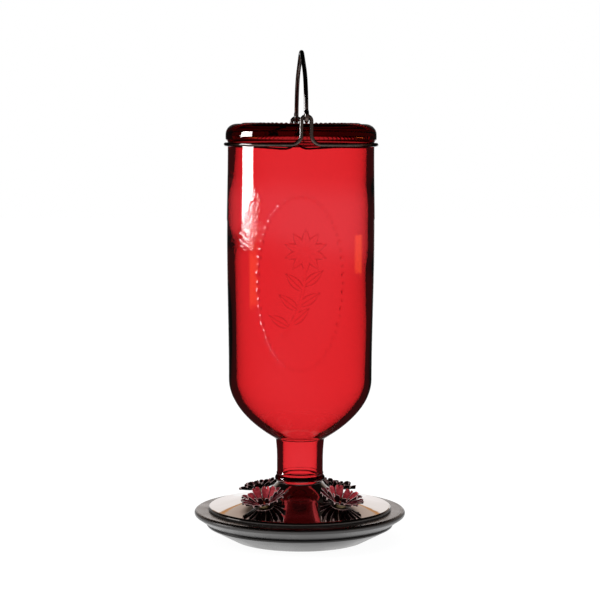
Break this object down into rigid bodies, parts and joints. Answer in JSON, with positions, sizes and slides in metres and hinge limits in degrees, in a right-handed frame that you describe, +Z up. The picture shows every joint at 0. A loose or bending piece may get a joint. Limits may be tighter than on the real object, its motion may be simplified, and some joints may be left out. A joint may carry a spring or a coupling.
{
  "type": "glass hummingbird feeder",
  "caption": "Glass nectar feeder: bottle hung mouth down over a round metal dish, with a bell cover, metal flowers round the drinking ports, and a wire bail to hang it by.",
  "frame": {"origin": "centre of the dish's flat underside", "axes": "+Z up the middle of the bottle; the wire loops stand at -Y (front) and +Y (back); the bail lies in the YZ plane"},
  "size_m": [0.1082, 0.1082, 0.2497],
  "materials": {
    "red_glass": "clear ruby glass, smooth",
    "spun_metal": "spun and brushed, bright",
    "sleeve_metal": "satin",
    "wire_metal": "drawn wire, darkened",
    "eyelet_metal": "satin, pale",
    "red_lacquer": "clear red lacquer over metal, glossy",
    "black_rubber": "matt"
  },
  "bodies": {
    "dish": {"dish": "spun_metal", "cover_gasket": "black_rubber"},
    "cover": {"cover": "spun_metal", "collar": "sleeve_metal", "port_tube_1": "eyelet_metal", "port_washer_1": "eyelet_metal", "flower_outer_1": "red_lacquer", "flower_inner_1": "red_lacquer", "port_tube_2": "eyelet_metal", "port_washer_2": "eyelet_metal", "flower_outer_2": "red_lacquer", "flower_inner_2": "red_lacquer", "port_tube_3": "eyelet_metal", "port_washer_3": "eyelet_metal", "flower_outer_3": "red_lacquer", "flower_inner_3": "red_lacquer", "port_tube_4": "eyelet_metal", "port_washer_4": "eyelet_metal", "flower_outer_4": "red_lacquer", "flower_inner_4": "red_lacquer"},
    "seal": {"bottle_seal": "black_rubber"},
    "bottle": {"bottle": "red_glass", "hanger_ring": "wire_metal"},
    "bail": {"bail": "wire_metal"}
  },
  "joints": [
    {"name": "cover_twist", "type": "hinge", "parent": "dish", "child": "cover", "pos_m": [0, 0, 0.0154], "axis": [0, 0, 1], "range_deg": [0, 25]},
    {"name": "bottle_turn", "type": "hinge", "parent": "cover", "child": "seal", "pos_m": [0, 0, 0.0155], "axis": [0, 0, 1], "range_deg": [0, 540]},
    {"name": "bottle_rise", "type": "slide", "parent": "seal", "child": "bottle", "axis": [0, 0, 1], "range_m": [0, 0.0048]},
    {"name": "bail_swing", "type": "hinge", "parent": "bottle", "child": "bail", "pos_m": [0, 0, 0.2136], "axis": [0, 1, 0], "range_deg": [-87, 87]}
  ],
  "couplings": [
    {"joint": "bottle_turn", "follows": "bottle_rise", "rad_per_m": 1963.5}
  ]
}
